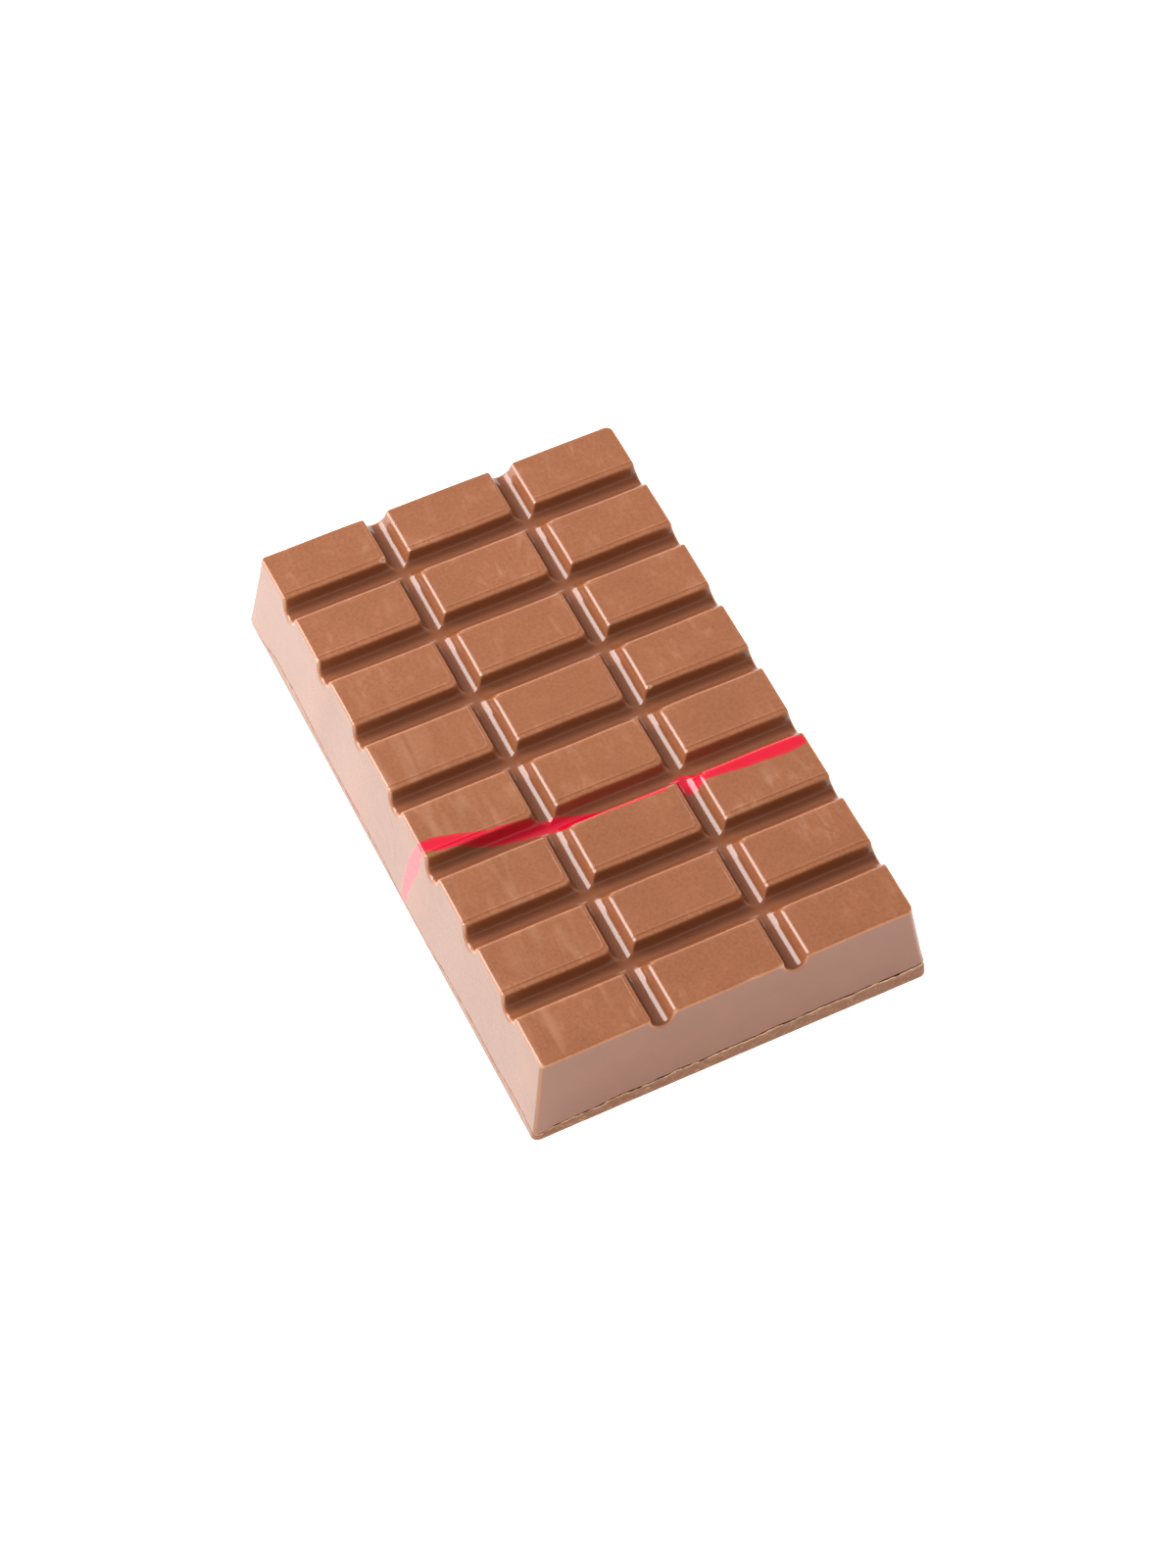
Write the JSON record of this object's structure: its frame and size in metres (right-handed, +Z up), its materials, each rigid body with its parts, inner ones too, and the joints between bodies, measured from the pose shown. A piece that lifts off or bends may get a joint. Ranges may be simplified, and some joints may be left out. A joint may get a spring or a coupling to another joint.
{
  "type": "chocolate bar",
  "caption": "Thick moulded milk chocolate bar with grooved rectangular segments, a flush red stripe across it and a rough backing layer.",
  "frame": {"origin": "middle of the flat underside, on the surface that the bar rests on", "axes": "+Z up through the bar, +Y along its length towards the far short end, +X across its width"},
  "size_m": [0.06, 0.097, 0.0156],
  "materials": {
    "milk_chocolate": "satin milk chocolate as it leaves a polished mould, glossier on the walls and in the grooves",
    "backing_chocolate": "scraped milk chocolate, rougher and duller, with pale crumbs"
  },
  "bodies": {
    "root": {"moulded_bar": "milk_chocolate", "base_layer": "backing_chocolate"}
  },
  "joints": []
}
